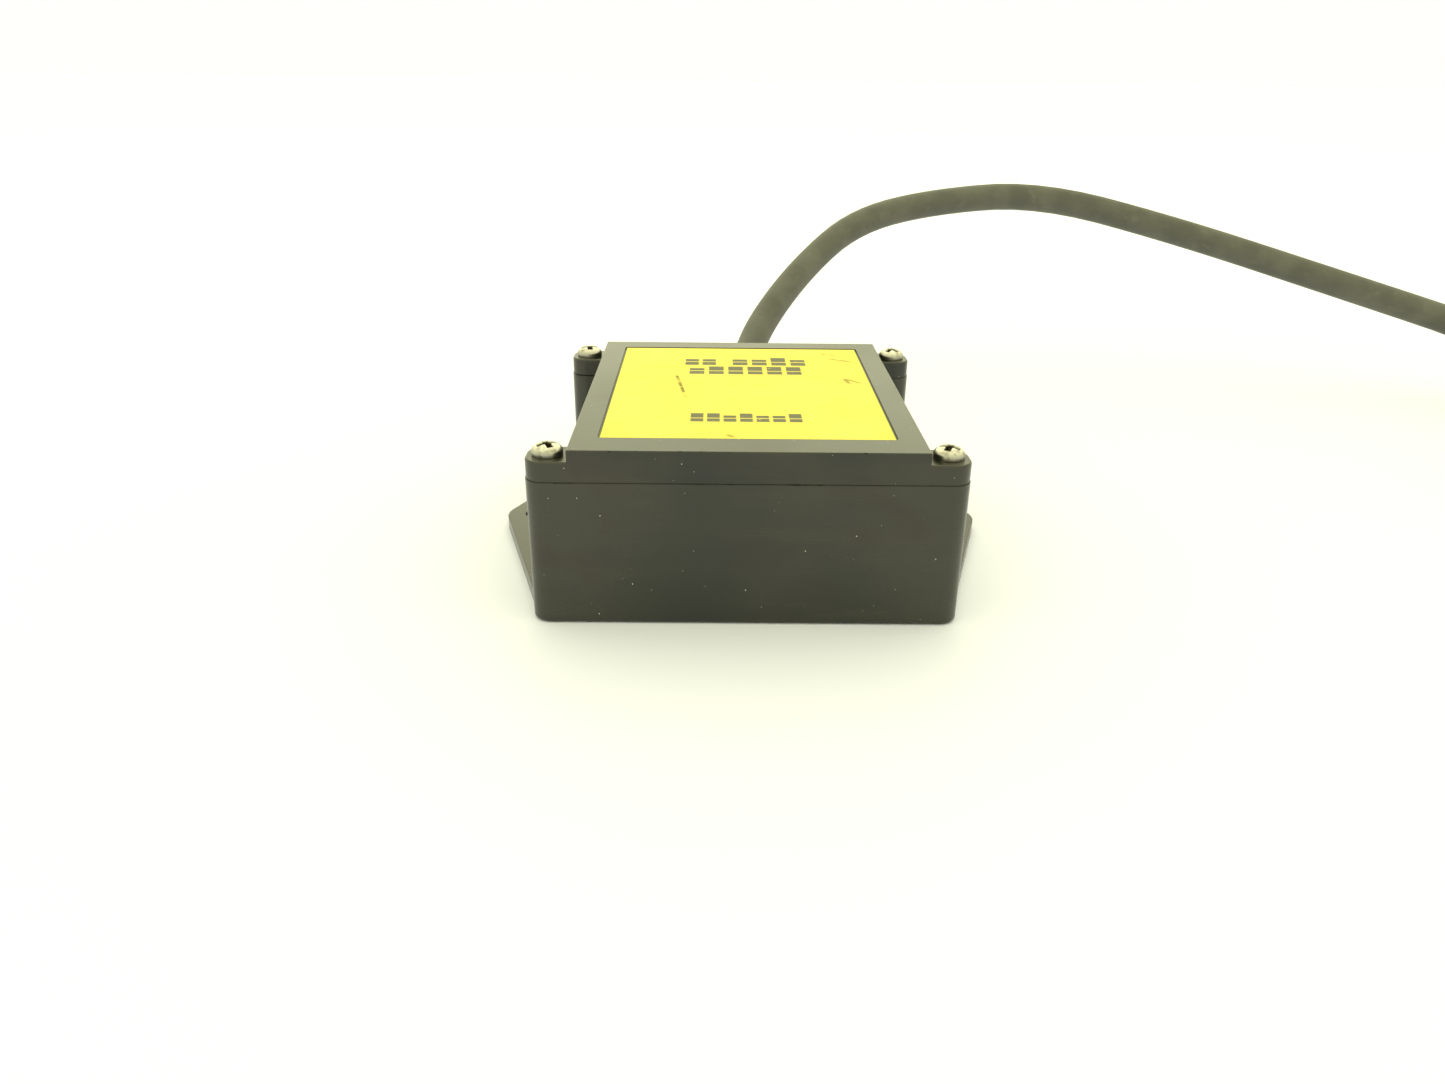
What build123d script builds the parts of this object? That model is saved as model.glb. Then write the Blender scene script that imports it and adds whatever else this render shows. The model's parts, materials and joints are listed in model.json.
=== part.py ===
from build123d import *
import math
import os

# Card reader in a screwed plastic box with a gland, a free cable and a plug.
# Millimetres. +Z is up, +Y is the back, where the cable leaves. The origin is the
# middle of the underside.

# ---- case
EAR_SPAN = 81.8             # over the four corner ears
CASE_W = 65.9               # over the set-in side walls of the base
CASE_D = 80.2               # front face to rear face of the base
CASE_H = 35.0               # underside to the raised top
PARTING = 28.8              # joint between base and lid
EAR_TOP = 32.7              # the ears of the lid are lower than its raised top
EAR_D = 9.2
EAR_R = 3.5
LID_INSET = 0.15            # the base rim stands this much proud of the lid
WALL = 2.5
FLOOR = 3.0
ROOF = 2.6
LIP_DEPTH = 1.5
LIP_T = 1.2
LIP_GAP = 0.15
EAR_Y = CASE_D / 2 - EAR_D / 2
CAVITY_W = CASE_W - 2 * WALL
CAVITY_D = CASE_D - 2 * WALL
REAR_FACE = CASE_D / 2

# ---- mounting lugs, one each side at floor level
LUG_T = 3.0
LUG_X = 47.4                # mounting hole, also the centre of the lug's round tip
LUG_Y = 6.4
LUG_TIP_R = 6.2
LUG_SET_IN = 0.7            # the lug's ends lie this far inside the ears' round corners
LUG_HOLE_R = 2.25

# ---- lid screws and the inserts that they turn into
SCREW_X = 36.8
SCREW_Y = 35.4
SCREW_R = 1.5
SCREW_L = 12.0
SCREW_HEAD_R = 2.9
SCREW_HEAD_H = 2.2
INSERT_R = 2.1
INSERT_L = 5.8
RUNNING = 0.05              # radial clearance of a part that turns or slides on another

# ---- gasket and label
GASKET_W = 1.2
GASKET_T = 1.0
LABEL_W = 55.3
LABEL_D = 67.0
LABEL_Y = 0.9
LABEL_T = 0.2
LABEL_R = 0.75
RECESS_MARGIN = 0.25
RECESS_DEPTH = 0.3

# ---- boards
BOARD_T = 1.6
BOARD_W = 54.0
BOARD_FRONT = -34.0
MAIN_Z = 8.0
MAIN_BACK = 31.0
MAIN_TOP = MAIN_Z + BOARD_T
SPACER_L = 10.4
SPACER_FLATS = 5.5
STUD_R = 1.25
AERIAL_Z = MAIN_TOP + SPACER_L
AERIAL_TOP = AERIAL_Z + BOARD_T
AERIAL_BACK = 28.0
POST_X = 24.0
POST_YS = (-31.0, 25.0)
POSTS = [(side * POST_X, y) for side in (-1, 1) for y in POST_YS]

# ---- aerial: a wire coil in a channel-shaped former
FORMER_W = 50.0
FORMER_D = 58.0
FORMER_Y = -3.0
FORMER_R = 14.0
FORMER_H = 5.6
FORMER_FLANGE = 1.0
CORE_IN = 3.8               # core wall, set in from the flanges' outer edge
CORE_T = 1.2
COIL_SHORT = 0.7            # the winding stops this far short of the flanges' edge
LEAD_R = 0.35
LEAD_X = 2.0
LEAD_Y = -33.0

# ---- legs of the chips
LEG_W = 0.4
LEG_H = 0.35
LEG_OUT = 1.0

# ---- cable, gland and wires
CABLE_R = 4.25
GLAND_Z = 17.5
GLAND_FLATS = 19.0
THREAD_R = 7.95
NECK_R = 7.25
EXIT_Y = 58.0
JACKET_END_Y = 28.5
WIRE_R = 0.6
WIRE_PITCH = 2.5
PLUG_BACK_Y = 19.0
WIRE_Z = 12.6

# The route of the cable from the gland to the coil, then from the coil to its plug.
FREE_RUN = [
    (0.0, EXIT_Y, GLAND_Z), (0.0, 69.0, 17.5), (2.6, 83.0, 19.0), (7.8, 101.0, 26.5),
    (21.5, 123.0, 39.0), (39.5, 142.5, 50.5), (65.5, 154.5, 55.5), (102.0, 153.5, 59.0),
    (146.0, 139.5, 49.0), (193.5, 121.5, 35.5), (239.0, 104.0, 22.5), (272.5, 87.0, 4.3),
    (300.5, 70.0, 4.25)]
TAIL_RUN = [
    (296.0, 62.7, 12.85), (309.6, 53.8, 12.85), (323.1, 40.3, 12.9), (332.4, 21.3, 12.0),
    (333.7, 0.9, 9.5), (325.9, -18.7, 6.6), (311.2, -34.1, 5.6), (293.4, -47.0, 7.6),
    (280.5, -56.4, 7.6)]
COIL_CENTRE = (270.9, 21.3)
COIL_OUTER_R = 57.0         # centre line of the outermost turn
COIL_PITCH = 8.6
COIL_TURNS_BELOW = 3
COIL_TURNS_ABOVE = 2
TIE_ANGLE = 200.0
TIE_W = 12.0
TIE_T = 0.9

# ---- plug on the far end of the cable
PLUG_HEADING = 216.0        # degrees from +X, the way the plug points
GRIP_L = 34.0
GRIP_R = 7.4
CARRIER_R = 4.8
CARRIER_L = 16.0
SOCKET_R = 4.0
PIN_R = 0.5
PIN_CIRCLE = 2.5

EAR_CORNERS = ((-1, -1, "front_left"), (1, -1, "front_right"),
               (-1, 1, "rear_left"), (1, 1, "rear_right"))
WIRES = ("red", "black", "green", "white")


# ---------------------------------------------------------------- plain shapes
def slab(low, high):
    """A box from its lowest corner to its highest."""
    size = [b - a for a, b in zip(low, high)]
    return Pos(*low) * Box(*size, align=(Align.MIN, Align.MIN, Align.MIN))


def upright(x, y, z0, z1, radius):
    """A round bar standing along Z."""
    return Pos(x, y, z0) * Cylinder(radius, z1 - z0, align=(Align.CENTER, Align.CENTER, Align.MIN))


def prism(plan, z0, z1):
    """A flat plan carried from one height to another."""
    return Pos(0, 0, z0) * extrude(plan, z1 - z0)


def rounded(width, depth, radius, y=0.0):
    """A rounded rectangle centred on x = 0."""
    return Pos(0, y) * RectangleRounded(width, depth, radius)


def turned(profile):
    """A solid of revolution about Z from (radius, height) points."""
    return revolve(Plane.XZ * make_face(Polyline(profile, close=True)), Axis.Z)


def tube(outer, inner, z0, z1):
    """A round tube along Z."""
    return turned([(inner, z0), (outer, z0), (outer, z1), (inner, z1)])


def hexagon(flats):
    """A hexagon with two flats facing local +Y and -Y."""
    return RegularPolygon(flats / 2 / math.cos(math.pi / 6), 6)


def ridges(radius, z0, z1, depth, pitch):
    """Profile points of thread-like ridges from z0 up to z1, outer radius first."""
    count = round((z1 - z0) / pitch)
    points = []
    for i in range(count):
        points.append((radius, z0 + i * pitch))
        points.append((radius - depth, z0 + (i + 0.5) * pitch))
    points.append((radius, z1))
    return points


def gathered(solids):
    """Several separate solids in one node."""
    return Compound(children=list(solids))


# ---------------------------------------------------------------- case
def h_plan(inset):
    """The H-shaped plan: a box, and a bar across each end that makes the ears."""
    plan = Rectangle(CASE_W - 2 * inset, CASE_D - 2 * inset)
    for end in (-1, 1):
        bar = RectangleRounded(EAR_SPAN - 2 * inset, EAR_D - 2 * inset, EAR_R - inset)
        plan += Pos(0, end * EAR_Y) * bar
    return plan


def lug(side):
    """A shallow three-cornered lug from ear to ear, flush with the underside."""
    x, y, radius = EAR_SPAN / 2 - EAR_R, CASE_D / 2 - EAR_R, EAR_R - LUG_SET_IN
    circles = [(side * x, -y, radius), (side * x, y, radius), (side * LUG_X, LUG_Y, LUG_TIP_R)]
    rings = [Pos(x, y) * Circle(r) for x, y, r in circles]
    plan = make_hull([edge for ring in rings for edge in ring.edges()])
    plan += Pos(side * CASE_W / 2, 0) * Rectangle(8, CASE_D - 4 * EAR_R)
    plate = prism(plan, 0, LUG_T)
    rim = [e for e in plate.faces().sort_by(Axis.Z)[-1].edges() if abs(e.center().X) > EAR_SPAN / 2 - 2]
    return fillet(rim, 0.3)


def base_housing():
    """The open-topped base: walls, ears, lugs, posts, insert holes, seal groove and gland hole."""
    body = prism(h_plan(0), 0, PARTING)
    body = fillet(body.faces().sort_by(Axis.Z)[0].edges(), 0.9)
    for side in (-1, 1):
        body += lug(side)
        body -= upright(side * LUG_X, LUG_Y, -1, LUG_T + 1, LUG_HOLE_R)
    body -= prism(rounded(CAVITY_W, CAVITY_D, 1.5), FLOOR, PARTING)
    for x, y in POSTS:
        body += upright(x, y, FLOOR - 0.5, MAIN_Z, 3.2)
        body -= upright(x, y, FLOOR + 0.5, MAIN_Z, STUD_R + 0.05)
    for sx, sy, _ in EAR_CORNERS:
        x, y = sx * SCREW_X, sy * SCREW_Y
        body -= upright(x, y, PARTING - 0.2 - INSERT_L, PARTING, INSERT_R)
        body -= upright(x, y, 16, PARTING - 1, 1.8)
    body -= prism(seal_ring(), PARTING - GASKET_T, PARTING)
    body -= gland_place() * upright(0, 0, -WALL - 1, 1, THREAD_R + 0.15)
    return body


def seal_ring():
    """Plan of the seal, half way through the thickness of the walls."""
    width = CASE_W - WALL
    depth = CASE_D - WALL
    outer = rounded(width + GASKET_W, depth + GASKET_W, 1.6)
    return outer - rounded(width - GASKET_W, depth - GASKET_W, 1.0)


def lid():
    """The lid: ears, raised top, label recess, hollow underside and a locating lip."""
    ears = prism(h_plan(LID_INSET), PARTING, EAR_TOP)
    ears = fillet(ears.faces().sort_by(Axis.Z)[-1].edges(), 0.4)
    top_w = CASE_W - 2 * LID_INSET
    top_d = CASE_D - 2 * LID_INSET
    top = prism(Rectangle(top_w, top_d), PARTING, CASE_H)
    top = fillet(top.edges().filter_by(Axis.Z), 0.15)
    top = fillet(top.faces().sort_by(Axis.Z)[-1].edges(), 0.2)
    lip_w = CAVITY_W - 2 * LIP_GAP
    lip_d = CAVITY_D - 2 * LIP_GAP
    hollow = rounded(lip_w - 2 * LIP_T, lip_d - 2 * LIP_T, 1.0)
    cover = ears + top + prism(rounded(lip_w, lip_d, 1.35), PARTING - LIP_DEPTH, PARTING + 1)
    cover -= prism(hollow, PARTING - LIP_DEPTH, CASE_H - ROOF)
    recess = rounded(LABEL_W + 2 * RECESS_MARGIN, LABEL_D + 2 * RECESS_MARGIN,
                     LABEL_R + RECESS_MARGIN, LABEL_Y)
    cover -= prism(recess, CASE_H - RECESS_DEPTH, CASE_H)
    for sx, sy, _ in EAR_CORNERS:
        cover -= upright(sx * SCREW_X, sy * SCREW_Y, PARTING, EAR_TOP, SCREW_R + 0.2)
    return cover


def label():
    """The printed label, lying in its recess a little below the raised top."""
    z = CASE_H - RECESS_DEPTH
    return prism(rounded(LABEL_W, LABEL_D, LABEL_R, LABEL_Y), z, z + LABEL_T)


# ---------------------------------------------------------------- fasteners
def machine_screw(radius, length, head_r, head_h, pitch):
    """A pan-head screw with a cross recess: the head sits on z = 0, the shank points down."""
    shank = ridges(radius, -length + pitch, -2 * pitch, 0.14 * radius, pitch)
    side = [(0, -length), (radius * 0.7, -length)] + shank + [(radius, 0), (head_r - 0.15, 0)]
    outline = Polyline(side + [(head_r, 0.15), (head_r, head_h * 0.5)])
    crown = ThreePointArc((head_r, head_h * 0.5), (head_r * 0.72, head_h * 0.9), (0, head_h))
    profile = make_face([outline, crown, Line((0, head_h), (0, -length))])
    screw = revolve(Plane.XZ * profile, Axis.Z)
    arm = head_r * 1.15
    slot = head_r * 0.26
    for turn in (45, 135):
        screw -= Pos(0, 0, head_h) * Rot(0, 0, turn) * Box(arm, slot, head_h * 1.1)
    screw -= Pos(0, 0, head_h * 0.6) * Cone(head_r * 0.12, head_r * 0.36, head_h * 0.9)
    return screw


def threaded_insert(x, y):
    """A brass insert with two knurled bands."""
    top = PARTING - 0.2
    low = top - INSERT_L
    bore = SCREW_R + RUNNING
    band = INSERT_R
    waist = INSERT_R - 0.25
    profile = [(bore, low), (band, low), (band, low + 2.3), (waist, low + 2.6), (waist, low + 3.2),
               (band, low + 3.5), (band, top), (bore, top)]
    return Pos(x, y, 0) * turned(profile)


def board_spacer(x, y):
    """A hexagonal pillar with a stud that goes through the main board into the post below."""
    pillar = prism(hexagon(SPACER_FLATS), MAIN_TOP, AERIAL_Z)
    pillar += upright(0, 0, FLOOR + 1, MAIN_TOP + 0.5, STUD_R)
    pillar -= upright(0, 0, AERIAL_Z - 5, AERIAL_Z, 1.05)
    return Pos(x, y, 0) * pillar


# ---------------------------------------------------------------- electronics
def pierced_board(back, z, holes):
    """A circuit board with round holes, given as (x, y, radius)."""
    depth = back - BOARD_FRONT
    board = prism(rounded(BOARD_W, depth, 1.5, (back + BOARD_FRONT) / 2), z, z + BOARD_T)
    for x, y, radius in holes:
        board -= upright(x, y, z, z + BOARD_T, radius)
    return board


def leg_bar(x, y, reach_x, reach_y):
    """A flat bar that sticks out of a chip on both sides as a pair of legs."""
    return slab((x - reach_x, y - reach_y, MAIN_TOP), (x + reach_x, y + reach_y, MAIN_TOP + LEG_H))


def chip(x, y, width, depth, height, legs, sides):
    """A moulded chip with legs on two sides, or on four."""
    body = slab((x - width / 2, y - depth / 2, MAIN_TOP + 0.1),
                (x + width / 2, y + depth / 2, MAIN_TOP + height))
    body = chamfer(body.faces().sort_by(Axis.Z)[-1].edges(), 0.15)
    for i in range(legs):
        share = (i - (legs - 1) / 2) * 0.85 / legs
        body += leg_bar(x + share * width, y, LEG_W / 2, depth / 2 + LEG_OUT)
        if sides == 4:
            body += leg_bar(x, y + share * depth, width / 2 + LEG_OUT, LEG_W / 2)
    return body


def crystal():
    """A low metal crystal can with a rim."""
    rim = prism(SlotOverall(11.0, 4.9), MAIN_TOP, MAIN_TOP + 0.5)
    can = prism(SlotOverall(10.2, 4.1), MAIN_TOP, MAIN_TOP + 3.6)
    can = fillet(can.faces().sort_by(Axis.Z)[-1].edges(), 0.4)
    return Pos(14, -8, 0) * (rim + can)


def capacitor(x, y):
    """An upright electrolytic capacitor on a square foot."""
    radius = 3.15
    foot = slab((x - 3.3, y - 3.3, MAIN_TOP), (x + 3.3, y + 3.3, MAIN_TOP + 0.8))
    z = MAIN_TOP + 0.8
    can = turned([(0, z), (radius, z), (radius, z + 0.9), (radius - 0.25, z + 1.2), (radius, z + 1.5),
                  (radius, z + 6.5), (radius - 0.4, z + 6.9), (0, z + 6.9)])
    return foot + Pos(x, y, 0) * can


def voltage_regulator():
    """A three-legged regulator lying on its metal tab."""
    body = slab((-21, 9, MAIN_TOP + 0.1), (-14.5, 15, MAIN_TOP + 2.4))
    tab = slab((-20.4, 15, MAIN_TOP), (-15.1, 16.4, MAIN_TOP + 0.6))
    part = body + tab
    for x in (-20.0, -17.75, -15.5):
        part += slab((x - 0.35, 6.4, MAIN_TOP), (x + 0.35, 9.2, MAIN_TOP + 0.6))
    return part


def wire_header():
    """The board-mounted half of the wire connector, open towards the back."""
    shell = slab((-6.4, 8, MAIN_TOP), (6.4, 16, MAIN_TOP + 6.4))
    return shell - slab((-5.6, 9.2, MAIN_TOP + 0.8), (5.6, 16.1, MAIN_TOP + 5.4))


def wire_plug():
    """The half that the four wires go into."""
    body = slab((-5.4, 9.4, MAIN_TOP + 0.9), (5.4, PLUG_BACK_Y, MAIN_TOP + 5.1))
    rib = slab((-1.6, 16.4, MAIN_TOP + 5.0), (1.6, PLUG_BACK_Y - 0.4, MAIN_TOP + 5.9))
    body = chamfer(body.edges().filter_by(Axis.Y), 0.3)
    return body + rib


def wire(index):
    """One insulated wire, from the end of the jacket down to its place in the wire plug."""
    column = (-1, 1)[index % 2]
    upper = index >= 2
    start_x = column * 1.5
    start_z = GLAND_Z + (1.2 if upper else -1.2)
    bend_y = JACKET_END_Y - (3.2 if upper else 1.8)
    end_x = column * (0.5 if upper else 1.5) * WIRE_PITCH
    path = FilletPolyline(
        (start_x, JACKET_END_Y, start_z), (start_x, bend_y, start_z),
        (end_x, PLUG_BACK_Y + 2.6, WIRE_Z), (end_x, PLUG_BACK_Y, WIRE_Z), radius=1.5)
    return sweep(Plane(origin=path @ 0, z_dir=path % 0) * Circle(WIRE_R), path=path)


def ferrite_sheet():
    """The ferrite backing under the aerial board."""
    return prism(rounded(36.0, 42.0, 1.0, FORMER_Y), AERIAL_Z - 1.0, AERIAL_Z)


def former_plan(inset):
    """Plan of the former's outline, set in by an amount."""
    return rounded(FORMER_W - 2 * inset, FORMER_D - 2 * inset, FORMER_R - inset, FORMER_Y)


def coil_former():
    """The plastic former: two flanges with a thin core wall between them."""
    inner = former_plan(CORE_IN + CORE_T)
    z0, z1 = AERIAL_TOP, AERIAL_TOP + FORMER_H
    ring = prism(former_plan(CORE_IN) - inner, z0, z1)
    ring += prism(former_plan(0) - inner, z0, z0 + FORMER_FLANGE)
    ring += prism(former_plan(0) - inner, z1 - FORMER_FLANGE, z1)
    return ring


def antenna_coil():
    """The winding that fills the former's channel."""
    plan = former_plan(COIL_SHORT) - former_plan(CORE_IN)
    return prism(plan, AERIAL_TOP + FORMER_FLANGE, AERIAL_TOP + FORMER_H - FORMER_FLANGE)


def antenna_lead(side):
    """A thin wire from the winding, down past the former's edge to the main board."""
    x = side * LEAD_X
    z = AERIAL_TOP + FORMER_H / 2
    winding_face = FORMER_Y - FORMER_D / 2 + COIL_SHORT
    path = FilletPolyline((x, winding_face + 0.3, z), (x, LEAD_Y, z), (x, LEAD_Y, MAIN_TOP), radius=0.8)
    return sweep(Plane(origin=path @ 0, z_dir=path % 0) * Circle(LEAD_R), path=path)


# ---------------------------------------------------------------- gland
def gland_place():
    """Local z runs out of the rear face along +Y, with z = 0 on that face."""
    return Plane(origin=(0, REAR_FACE, GLAND_Z), x_dir=(1, 0, 0), z_dir=(0, 1, 0))


def gland_body():
    """Threaded sleeve through the rear wall with a hexagon and a neck for the dome nut."""
    sleeve = turned([(0, -9), (THREAD_R - 0.5, -9), (THREAD_R, -8.5), (THREAD_R, 1), (NECK_R, 1),
                     (NECK_R, 13.0), (NECK_R - 0.5, 13.4), (0, 13.4)])
    sleeve += prism(hexagon(GLAND_FLATS), 1.0, 6.0)
    sleeve -= upright(0, 0, -10, 14, CABLE_R + 0.1)
    sleeve -= upright(0, 0, 6.5, 14, 6.05)
    return gland_place() * sleeve


def gland_washer():
    """The flat seal between the gland's hexagon and the rear wall."""
    return gland_place() * tube(9.4, THREAD_R + RUNNING, 0, 1.0)


def gland_lock_nut():
    """The thin nut that holds the gland from inside."""
    nut = prism(hexagon(GLAND_FLATS), -WALL - 4.5, -WALL) & turned(
        [(0, -WALL - 4.5), (9.7, -WALL - 4.5), (11, -WALL - 3.8), (11, -WALL), (0, -WALL)])
    return gland_place() * (nut - upright(0, 0, -8, 0, THREAD_R + RUNNING))


def gland_seal():
    """The rubber sleeve that grips the cable inside the neck."""
    return gland_place() * tube(6.0, CABLE_R, 7.0, 14.2)


def gland_dome_nut():
    """The six-sided domed nut that squeezes the seal; the cable comes out of its nose."""
    outline = Polyline((0, 6.4), (10.2, 6.4), (10.97, 7.2), (10.97, 11.0))
    dome = ThreePointArc((10.97, 11.0), (9.3, 14.8), (6.6, 17.3))
    nose = Polyline((6.6, 17.3), (5.9, 17.7), (0, 17.7), (0, 6.4))
    shape = revolve(Plane.XZ * make_face([outline, dome, nose]), Axis.Z)
    shape &= prism(hexagon(GLAND_FLATS), 6.4, 17.7)
    shape -= upright(0, 0, 6, 14.5, NECK_R + RUNNING)
    mouth = CABLE_R + 0.35
    shape -= turned([(0, 14.4), (mouth, 14.4), (mouth, 17.0), (mouth + 0.55, 17.8), (0, 17.8)])
    return gland_place() * shape


def cable_entry():
    """The stretch of cable held in the gland, up to where the jacket is cut back."""
    return gland_place() * upright(0, 0, JACKET_END_Y - REAR_FACE, EXIT_Y - REAR_FACE, CABLE_R)


# ---------------------------------------------------------------- free cable and plug
def cord_tube(name, route):
    """A tube along straight runs joined by arcs as large as each pair of runs allows."""
    points = [Vector(*p) for p in route]
    radii = []
    for before, here, after in zip(points, points[1:], points[2:]):
        turn = math.radians((here - before).get_angle(after - here))
        shorter = min((here - before).length, (after - here).length)
        radii.append(0.45 * shorter / math.tan(turn / 2))
    path = FilletPolyline(*route, radius=radii)
    solid = sweep(Plane(origin=path @ 0, z_dir=path % 0) * Circle(CABLE_R), path=path)
    expected = math.pi * CABLE_R ** 2 * path.length
    print(name, "radii", [round(r) for r in radii], "length", round(path.length, 1),
          "volume / (section x length)", round(solid.volume / expected, 4))
    return solid


def coil_section(grow=0.0, bottom=0.0):
    """(radius, height) outline round the coil: a lower layer three turns wide, an upper one two."""
    inner = COIL_OUTER_R - (COIL_TURNS_BELOW - 1) * COIL_PITCH - CABLE_R
    outer = COIL_OUTER_R + CABLE_R
    upper = inner + COIL_TURNS_ABOVE * COIL_PITCH
    top = 2 * COIL_PITCH
    return [(inner - grow, bottom), (outer + grow, bottom), (outer + grow, COIL_PITCH),
            (upper + grow, top + grow), (inner - grow, top + grow)]


def cable_coil():
    """The outer shape of the wound-up cable."""
    return Pos(*COIL_CENTRE, 0) * turned(coil_section())


def coil_tie():
    """A strap once round the coil's section."""
    band = make_face(Polyline(coil_section(TIE_T), close=True))
    band -= make_face(Polyline(coil_section(0.0, TIE_T), close=True))
    strap = extrude(Plane.XZ * band, TIE_W / 2, both=True)
    return Pos(*COIL_CENTRE, 0) * Rot(0, 0, TIE_ANGLE) * strap


def plug_place():
    """Local z runs along the plug from where the cable goes in."""
    turn = math.radians(PLUG_HEADING)
    heading = (math.cos(turn), math.sin(turn), 0)
    return Plane(origin=TAIL_RUN[-1], x_dir=(-math.sin(turn), math.cos(turn), 0), z_dir=heading)


def plug_grip():
    """The moulded grip: a ribbed taper on the cable, a fluted barrel and the carrier tube."""
    taper = [(5.0, 0), (5.4, 2.5), (4.9, 3.0), (4.9, 4.0), (5.7, 4.5), (5.9, 6.5), (5.3, 7.0),
             (5.3, 8.0), (6.2, 8.5), (6.5, 10.5), (5.8, 11.0), (5.8, 12.0), (6.9, 13.0)]
    barrel = [(GRIP_R, 16.0), (GRIP_R, GRIP_L - 2), (GRIP_R - 0.8, GRIP_L), (CARRIER_R, GRIP_L),
              (CARRIER_R, GRIP_L + CARRIER_L), (0, GRIP_L + CARRIER_L)]
    grip = turned([(0, 0)] + taper + barrel)
    for i in range(8):
        flute = upright(GRIP_R + 1.0, 0, 17.5, GRIP_L - 3, 1.5)
        grip -= Rot(0, 0, 45 * i) * flute
    grip -= upright(0, 0, GRIP_L - 6, GRIP_L + CARRIER_L + 1, SOCKET_R)
    return plug_place() * grip


def pin_spots():
    """Four contacts on a circle and one in the middle."""
    turns = [math.radians(45 + 90 * i) for i in range(4)]
    return [(PIN_CIRCLE * math.cos(turn), PIN_CIRCLE * math.sin(turn)) for turn in turns] + [(0, 0)]


def plug_insert():
    """The insulating core that holds the contacts."""
    core = upright(0, 0, GRIP_L - 6, GRIP_L + 8, SOCKET_R)
    for x, y in pin_spots():
        core -= upright(x, y, GRIP_L + 2, GRIP_L + 9, PIN_R)
    return plug_place() * core


def contact_pins():
    """The plug's contacts, with rounded ends."""
    tip = GRIP_L + 15.0
    pins = []
    for x, y in pin_spots():
        pin = upright(x, y, GRIP_L + 2, tip, PIN_R)
        pins.append(plug_place() * chamfer(pin.faces().sort_by(Axis.Z)[-1].edges(), 0.2))
    return gathered(pins)


def coupling_ring():
    """The knurled screw ring that turns freely on the carrier tube."""
    z0 = GRIP_L + 0.4
    z1 = GRIP_L + 10.0
    z2 = GRIP_L + 17.0
    bore = CARRIER_R + RUNNING
    nose = ridges(6.0, z1 + 0.6, z2 - 0.6, 0.35, 1.0)
    ring = turned([(bore, z0), (6.7, z0), (7.2, z0 + 0.6), (7.2, z1 - 0.6), (6.7, z1), (5.6, z1)]
                  + nose + [(5.5, z2), (bore, z2)])
    for i in range(24):
        ring -= Rot(0, 0, 15 * i) * upright(7.35, 0, z0 + 1.2, z1 - 1.2, 0.4)
    return plug_place() * ring


# ---------------------------------------------------------------- assembly
def build_nodes():
    """Every node by name, each in its place."""
    post_holes = [(x, y, STUD_R + 0.1) for x, y in POSTS]
    lead_holes = [(side * LEAD_X, LEAD_Y, LEAD_R + 0.25) for side in (-1, 1)]
    nodes = {
        "base_housing": base_housing(),
        "lid": lid(),
        "lid_gasket": prism(seal_ring(), PARTING - GASKET_T, PARTING),
        "label": label(),
        "threaded_inserts": gathered(
            threaded_insert(sx * SCREW_X, sy * SCREW_Y) for sx, sy, _ in EAR_CORNERS),
        "main_circuit_board": pierced_board(MAIN_BACK, MAIN_Z, post_holes),
        "board_spacers": gathered(board_spacer(x, y) for x, y in POSTS),
        "microcontroller": chip(-4, -4, 10, 10, 1.5, 8, 4),
        "reader_chip": chip(-8, -24, 5, 6, 1.1, 7, 2),
        "line_driver_chip": chip(17, 13, 5, 4, 1.5, 4, 2),
        "crystal": crystal(),
        "capacitors": gathered([capacitor(-20, 0), capacitor(14, -24)]),
        "voltage_regulator": voltage_regulator(),
        "wire_header": wire_header(),
        "wire_plug": wire_plug(),
        "antenna_board": pierced_board(AERIAL_BACK, AERIAL_Z, post_holes + lead_holes),
        "ferrite_sheet": ferrite_sheet(),
        "coil_former": coil_former(),
        "antenna_coil": antenna_coil(),
        "antenna_leads": gathered(antenna_lead(side) for side in (-1, 1)),
        "antenna_screws": gathered(
            Pos(x, y, AERIAL_TOP) * machine_screw(1.0, 5.6, 2.2, 1.5, 0.45) for x, y in POSTS),
        "gland_body": gland_body(),
        "gland_washer": gland_washer(),
        "gland_lock_nut": gland_lock_nut(),
        "gland_seal": gland_seal(),
        "gland_dome_nut": gland_dome_nut(),
        "cable_entry": cable_entry(),
        "cable_free_run": cord_tube("free run", FREE_RUN),
        "cable_coil": cable_coil(),
        "cable_tail": cord_tube("tail", TAIL_RUN),
        "coil_tie": coil_tie(),
        "plug_grip": plug_grip(),
        "plug_insert": plug_insert(),
        "contact_pins": contact_pins(),
        "coupling_ring": coupling_ring(),
    }
    for sx, sy, corner in EAR_CORNERS:
        screw = machine_screw(SCREW_R, SCREW_L, SCREW_HEAD_R, SCREW_HEAD_H, 0.5)
        nodes["lid_screw_" + corner] = Pos(sx * SCREW_X, sy * SCREW_Y, EAR_TOP) * screw
    for index, colour in enumerate(WIRES):
        nodes["wire_" + colour] = wire(index)
    return nodes


def main():
    """Write one STEP file for each node."""
    os.makedirs("parts", exist_ok=True)
    for name, shape in build_nodes().items():
        export_step(shape, "parts/" + name + ".step")


main()
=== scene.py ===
"""The finish of a card reader: a black screwed box, its yellow label, its gland, and its cable wound up.

Metres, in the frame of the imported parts: +Z is up, +Y is the back, where the cable leaves."""
import json
import math

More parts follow.
